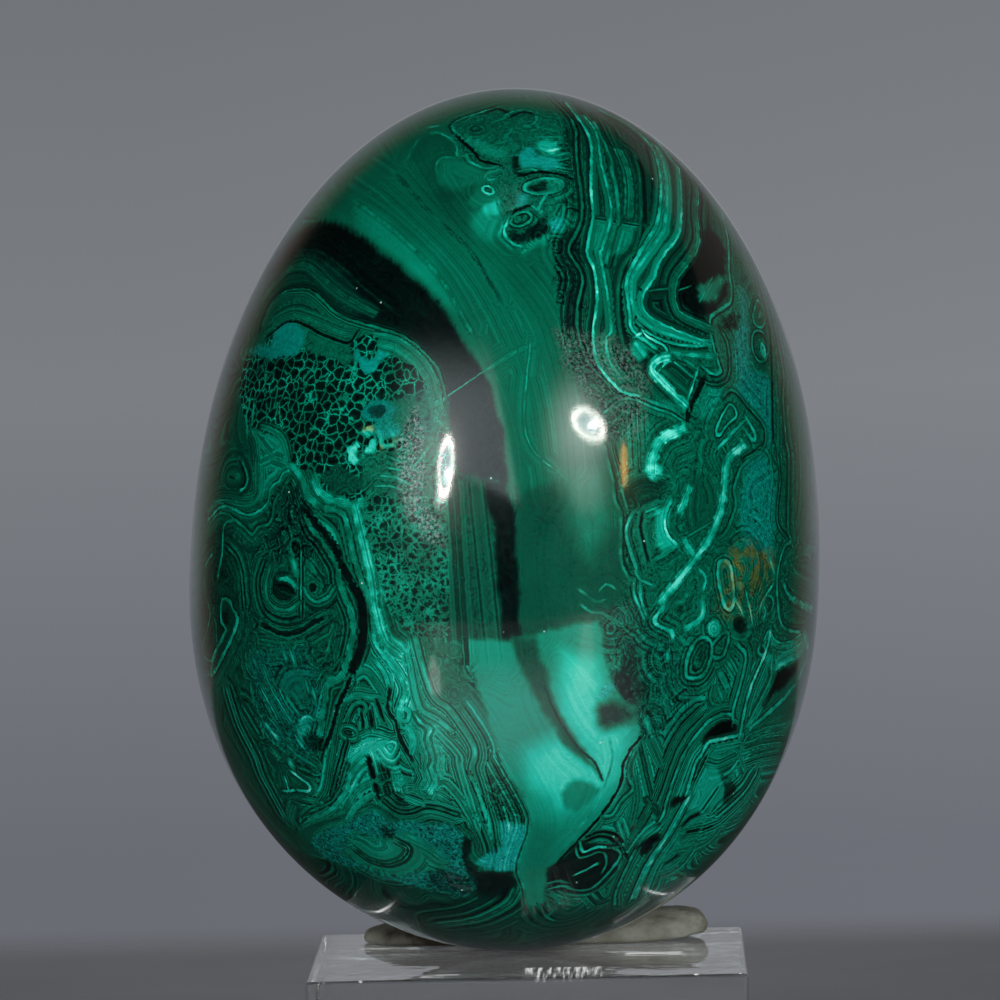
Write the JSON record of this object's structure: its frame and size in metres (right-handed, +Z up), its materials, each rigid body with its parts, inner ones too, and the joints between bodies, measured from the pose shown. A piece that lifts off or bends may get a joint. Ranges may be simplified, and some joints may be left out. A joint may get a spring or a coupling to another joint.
{
  "type": "stone egg on stand",
  "caption": "Polished banded green stone egg, loose on its blunt end on a clear square acrylic display block, kept from rolling by a pressed lump of display putty behind its foot.",
  "frame": {"origin": "centre of the acrylic block's underside, on the surface that the object stands on", "axes": "+Z up, +X to the right and +Y away from someone who looks at the block's front face, with the egg in front of its putty"},
  "size_m": [0.0556, 0.0554, 0.0954],
  "materials": {
    "malachite": "polished",
    "acrylic": "polished",
    "putty": "satin"
  },
  "bodies": {
    "stand": {"acrylic_block": "acrylic", "putty_pad": "putty"},
    "egg": {"stone_egg": "malachite"}
  },
  "joints": [
    {"name": "egg_lift", "type": "slide", "parent": "stand", "child": "egg", "axis": [0, 0, 1], "range_m": [0, 0.06]}
  ]
}
